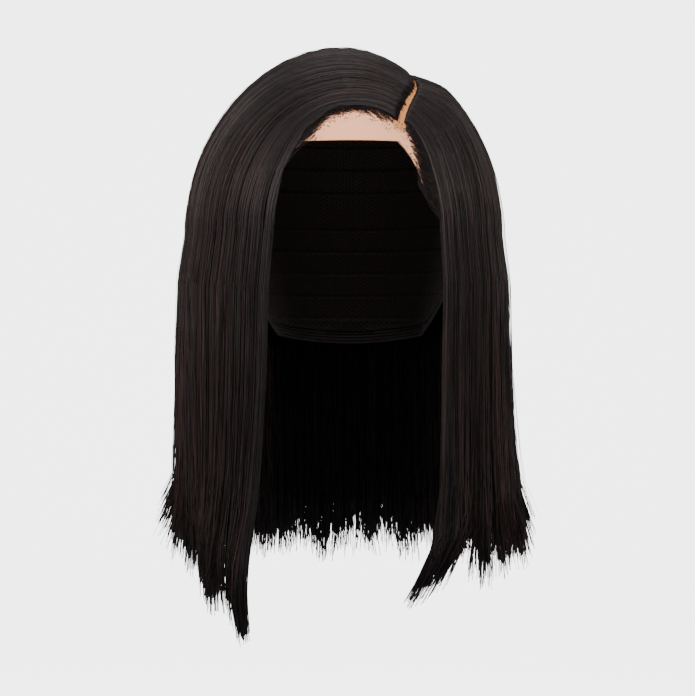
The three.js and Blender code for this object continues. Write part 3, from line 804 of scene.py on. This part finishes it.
def section_body(from_u, to_u, rng):
    """The closed body of a section, just below its outer strands and short of its ends. It keeps
    back from the part and from the face, where only strands show."""
    left = from_u + FACE_EDGE_INSET * (from_u == 0)
    right = to_u - FACE_EDGE_INSET * (to_u == LAST_GUIDE)
    columns = np.linspace(0, 1, BODY_COLUMNS + 1)
    ragged = np.interp(columns, np.linspace(0, 1, 13), rng.uniform(*BODY_SHORT, 13))

    def side(depth_at):
        def points(across, down):
            u = left + (right - left) * across
            over = 0.035 + 0.965 * np.clip(down / BODY_CROWN_SHARE, 0, 1)
            hung = np.clip((down - BODY_CROWN_SHARE) / (1 - BODY_CROWN_SHARE), 0, 1)
            short = np.interp(across, columns, ragged)
            z = HAIR_EQUATOR + (end_of(u) + short - HAIR_EQUATOR) * hung
            return in_hair(u, over, z, depth_at(u, over, hung))[0]
        return points

    def outer(u, over, hung):
        return 1.4 + 1.6 * (1 - smoothstep(over, 0.03, 0.2)) + 1.0 * hung**3

    def inner(u, over, hung):
        free = thickness(u, hung) - 1.0
        free = free + (3.2 - free) * hung**3
        return np.where(over < 1, 40 + (free - 40) * smoothstep(over, 0.62, 0.86), free)

    return closed_slab(BODY_COLUMNS, BODY_ROWS, side(outer), side(inner))


def clumps(from_u, to_u, rng):
    """How a section's hair clumps: the edges of its fine clumps, of its locks and of the large
    points of its ends, and for each lock and point how it differs from the next."""
    fine, locks = uneven(from_u, to_u, FINE_CLUMPS, rng), uneven(from_u, to_u, LOCKS, rng)
    points, sides = TIPS.get(from_u, (uneven(from_u, to_u, POINTS, rng), POINT_SIDES))
    n, m = len(locks) - 1, len(points) - 1
    return {
        "edges": (fine, locks, points),
        "sides": sides,
        "longer": (rng.uniform(-2, 3, n), rng.uniform(-4, 2, m)),
        "turned": rng.normal(0, 0.05, n),
        "puffed": (rng.normal(0, 1.0, n), rng.normal(0, 0.8, m)),
        "pointed": 0.02 + 0.3 * rng.random(n) ** 1.5,
        "gathered": np.full(m, 0.3) if from_u in TIPS else 0.05 + 0.25 * rng.random(m),
    }


def comb(u, from_u, to_u, depth, start, radius, plan, rng, stations, stray=0.0):
    """Strands from the part to their ends. Along the way they draw into fine clumps, and near the
    ends into small locks and the points of large ones."""
    count = len(u)
    shift = 0.04 * (rng.random((count, 1)) - 0.5)
    first = np.where(start < 0.4, np.minimum(start, 0.01), start)[:, None]
    crown = first + (1 - first) * (stations + 0.15 * shift * smoothstep(stations, 0.04, 0.3))
    over = np.concatenate([crown, np.ones((count, len(HANG_STATIONS)))], 1)
    down = HANG_STATIONS + 3 * shift * np.array([0, 0.3, 1, 1, 0, 0])
    down = np.concatenate([0 * crown, down], 1)
    fine = clumped(u, plan["edges"][0])[1]
    own, lock, half = clumped(u, plan["edges"][1])
    large, tip, tip_half = clumped(u, plan["edges"][2])
    off_lock, off_tip = np.clip(abs(u - lock) / half, 0, 1), np.clip(abs(u - tip) / tip_half, 0, 1)
    longer = plan["longer"][0][own] + plan["longer"][1][large]
    turned = plan["turned"][own] + rng.normal(0, 0.08, count)
    puffed = plan["puffed"][0][own] + plan["puffed"][1][large]
    pointed, gathered = plan["pointed"][own], plan["gathered"][large]
    end = end_of(u) - END_PAST + longer + 4 * pointed * off_lock + plan["sides"] * off_tip**1.5
    end = end + END_SCATTER * rng.random(count) ** END_POWER
    z = HAIR_EQUATOR + (end[:, None] - HAIR_EQUATOR) * down
    wave = rng.uniform(0, 6, (count, 1))
    guide = u[:, None] + (fine - u)[:, None] * 0.5 * smoothstep(over + down, 0.1, 1.4)
    guide = guide + (lock[:, None] - guide) * pointed[:, None] * smoothstep(down, 0.62, 1)
    guide = guide + (tip[:, None] - guide) * gathered[:, None] * smoothstep(down, 0.87, 1.02)
    guide = guide + turned[:, None] * smoothstep(down, 0.7, 1)
    guide = guide + (0.003 + stray * 0.06 * down) * np.sin(over * 4 + down * 6 + wave)
    least, most = from_u - 0.25 * (from_u == 0) - 0.02, to_u + 0.25 * (to_u == LAST_GUIDE) + 0.02
    guide = np.clip(guide, least, most)
    relief = (0.6 * off_lock**2 - 0.2)[:, None] * smoothstep(over + down, 0.4, 1.6)
    near = np.minimum(depth, 1.6)[:, None] * (0.4 + 0.6 * smoothstep(over, 0.4, 1))
    sunk = near + (depth[:, None] - near) * smoothstep(over, 0.8, 1) * (1 - 0.45 * down) + relief
    sunk = sunk + puffed[:, None] * 1.6 * down**3 - stray * 3 * down
    sunk = sunk + (0.03 + stray) * np.sin(over * 4 + down * 5 + 2 * wave)
    for reach, between, share in FLARES:
        flung = (rng.random(count) < share) * rng.uniform(0.3, 1, count)
        flung = flung * np.interp(u, between, [0, 1, 1, 0])
        sunk = sunk - reach * flung[:, None] * smoothstep(down, 0.84, 1) ** 1.2
    sunk = sunk + 4 * (1 - smoothstep(over - start[:, None], 0, 0.035)) * (start < 0.4)[:, None]
    points, outwards = in_hair(guide, over, z, sunk)
    taper = [np.interp(stations, [0, 0.2], [0.7, 1]), [1, 1, 1.05, 1.15, 1.15, 0.8]]
    taper = np.concatenate(taper)
    return points, outwards, radius[:, None] * taper, rng.random(count), rng


def section(name, from_u, to_u, count, seed):
    """A section between two guides: its body, the strands that show from outside in two layers,
    those on its inside, and loose ones that stand off."""
    rng = np.random.default_rng(seed)
    bm = section_body(from_u, to_u, rng)
    plan = clumps(from_u, to_u, rng)

    def add(u, depth, start, radius, stations, stray=0.0):
        hair = comb(u, from_u, to_u, depth, start, radius, plan, rng, stations, stray)
        add_strands(bm, *hair)

    top = round(TOP_SHARE * count)
    edge = EDGE_STRANDS if from_u == 0 or to_u == LAST_GUIDE else 0
    layers = (top, TOP_DEPTH, TOP_STATIONS), (count - top, UNDER_DEPTH, UNDER_STATIONS)
    for many, depths, stations in layers:
        u, depth = rng.uniform(from_u, to_u, many), rng.uniform(*depths, many)
        if edge and many == top:
            inwards = 0.22 * rng.random(edge)
            u[:edge] = inwards if from_u == 0 else LAST_GUIDE - inwards
            depth[:edge] = rng.random(edge) * thickness(u[:edge], 0.3)
        scattered = rng.random(many) < SCATTERED_SHARE
        away = rng.uniform(0, 0.3, many)
        start = np.where(scattered, away, rng.uniform(-0.006, 0.01, many))
        crossing = rng.random(many) < CROSSING_SHARE
        start = np.where(crossing, -0.02 * rng.random(many), start)
        add(u, depth, start, rng.uniform(*STRAND_RADIUS, many), stations)
    u = rng.uniform(from_u, to_u, INNER_STRANDS)
    depth = thickness(u, 0.3) - rng.uniform(-0.2, 2.2, INNER_STRANDS)
    start = np.full(INNER_STRANDS, 0.8)
    add(u, depth, start, rng.uniform(*INNER_RADIUS, INNER_STRANDS), INNER_STATIONS)
    u = rng.uniform(from_u, to_u, LOOSE_STRANDS)
    depth = rng.uniform(*LOOSE_DEPTH, LOOSE_STRANDS)
    start = rng.uniform(0.1, 0.6, LOOSE_STRANDS)
    add(u, depth, start, rng.uniform(*LOOSE_RADIUS, LOOSE_STRANDS), TOP_STATIONS, stray=0.7)
    return finished(name, bm, under_material, strand_material)


for seed, (hidden, name, from_u, to_u, count) in enumerate(SECTIONS):
    piece = section(name, from_u, to_u, count, 10 + seed)
    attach(piece, "root")
    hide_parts(hidden)


# Hairline: single short hairs, knotted one by one into the lace in front of the combed hair. They
# rise from their knots and join the combed hair a finger's width behind.
HAIRLINE_WIDTH = 7.0
HAIRLINE_RADIUS = (0.08, 0.14)
KNOTS_FADE = (2.0, 6.0)  # from the knotted hairs, in millimetres
# for each edge of the combed hair: its guide, how far round the hairline runs, and its hairs
HAIRLINES = ((0.0, 0.66, 520), (float(LAST_GUIDE), 0.9, 500))
HAIRLINE_STATIONS = np.array([0, 0.07, 0.18, 0.36, 0.57, 0.8, 1.0])


def hairline(name, seed):
    """The short hairs, and the places of their knots."""
    rng = np.random.default_rng(seed)
    bm = bmesh.new()
    bm.loops.layers.uv.new("combed")
    knots = []
    for edge, reach, count in HAIRLINES:
        inwards = 1 if edge == 0 else -1
        run = HAIRLINE_STATIONS[None, :]
        start = reach * rng.random((count, 1)) ** 0.8
        over = np.minimum(start + rng.uniform(0.08, 0.24, (count, 1)) * run, 0.97)
        guide = edge + inwards * rng.uniform(0.02, 0.3, (count, 1)) * run
        high, n = over_crown(smooth_rows(GUIDES, guide), over, 0.3 + 0 * over)
        ahead = unit(np.cross(n, unit(np.gradient(high, axis=1))))
        ahead = ahead * -np.sign(ahead[..., 1:2])
        before = HAIRLINE_WIDTH * rng.random((count, 1)) ** 1.4 * (1 - smoothstep(run, 0, 0.9))
        shifted = unit(n + ahead * (before / HEAD_FRONT)[..., None])
        low = on_head(shifted, LACE_WALL)
        risen = smoothstep(run, -0.05, 0.85)[..., None]
        points = low + (high + ahead * before[..., None] - low) * risen
        taper = np.interp(run, [0, 0.07, 0.7, 1], [1.7, 1, 0.8, 0.2])
        radius = rng.uniform(*HAIRLINE_RADIUS, (count, 1)) * taper
        add_strands(bm, points, n, radius, 0.5 * rng.random(count), rng)
        knots.append(points[:, 0])
    return finished(name, bm, under_material, strand_material), np.concatenate(knots)


piece, knots_at = hairline("hairline_knotted_hairs", 70)
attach(piece, "root")
points = mesh_points(lace.data)
keep_value(lace.data, "knots", 1 - smoothstep(nearest(points, knots_at), *KNOTS_FADE))


# Studio: one pale sheet that runs from the floor up behind, two tall soft lights in front and a
# wide one above.
FLOOR = -0.5
SWEEP_FLAT, SWEEP_BEND, SWEEP_LENGTH = 3.4, 1.2, 7.5
SWEEP_FRONT = -2.4
STUDIO_WHITE = (0.93, 0.935, 0.945)
BACKDROP_GLOW = 3.6

bm = bmesh.new()
bmesh.ops.create_grid(bm, x_segments=1, y_segments=60, size=1)
for vert in bm.verts:
    run = (vert.co.y + 1) / 2 * SWEEP_LENGTH
    quarter = SWEEP_BEND * math.pi / 2
    turn = min(max(run - SWEEP_FLAT, 0), quarter) / SWEEP_BEND
    rise = max(run - SWEEP_FLAT - quarter, 0)
    level = SWEEP_FRONT + min(run, SWEEP_FLAT) + SWEEP_BEND * math.sin(turn)
    vert.co = (vert.co.x * 6, level, FLOOR + SWEEP_BEND * (1 - math.cos(turn)) + rise)
backdrop_material, tree, shader = plain_material("studio_white", STUDIO_WHITE, 0.95, 0.0)
shader.inputs["Emission Color"].default_value = (*STUDIO_WHITE, 1)
shader.inputs["Emission Strength"].default_value = BACKDROP_GLOW
backdrop = finished("studio_backdrop", bm, backdrop_material)
backdrop.visible_diffuse = backdrop.visible_glossy = False


def softbox(name, location, aim, size, power):
    """A soft light aimed at a place, its size in metres and its power in watts."""
    data = bpy.data.lights.new(name, "AREA")
    data.shape, data.size, data.size_y, data.energy = "RECTANGLE", size[0], size[1], power
    lamp = bpy.data.objects.new(name, data)
    lamp.location = location
    lamp.rotation_euler = (Vector(aim) - Vector(location)).to_track_quat("-Z", "Y").to_euler()
    bpy.context.scene.collection.objects.link(lamp)


softbox("light_left", (-1.3, -1.4, 0.5), (0, 0, -0.15), (0.8, 1.2), 48)
softbox("light_right", (1.3, -1.4, 0.5), (0, 0, -0.15), (0.8, 1.2), 38)
softbox("light_top", (0, -0.4, 1.5), (0, 0, -0.1), (1.2, 1.0), 21)

world = bpy.data.worlds.new("studio")
world.use_nodes = True
world.node_tree.nodes["Background"].inputs["Color"].default_value = (0.97, 0.985, 1, 1)
world.node_tree.nodes["Background"].inputs["Strength"].default_value = 0.5
bpy.context.scene.world = world
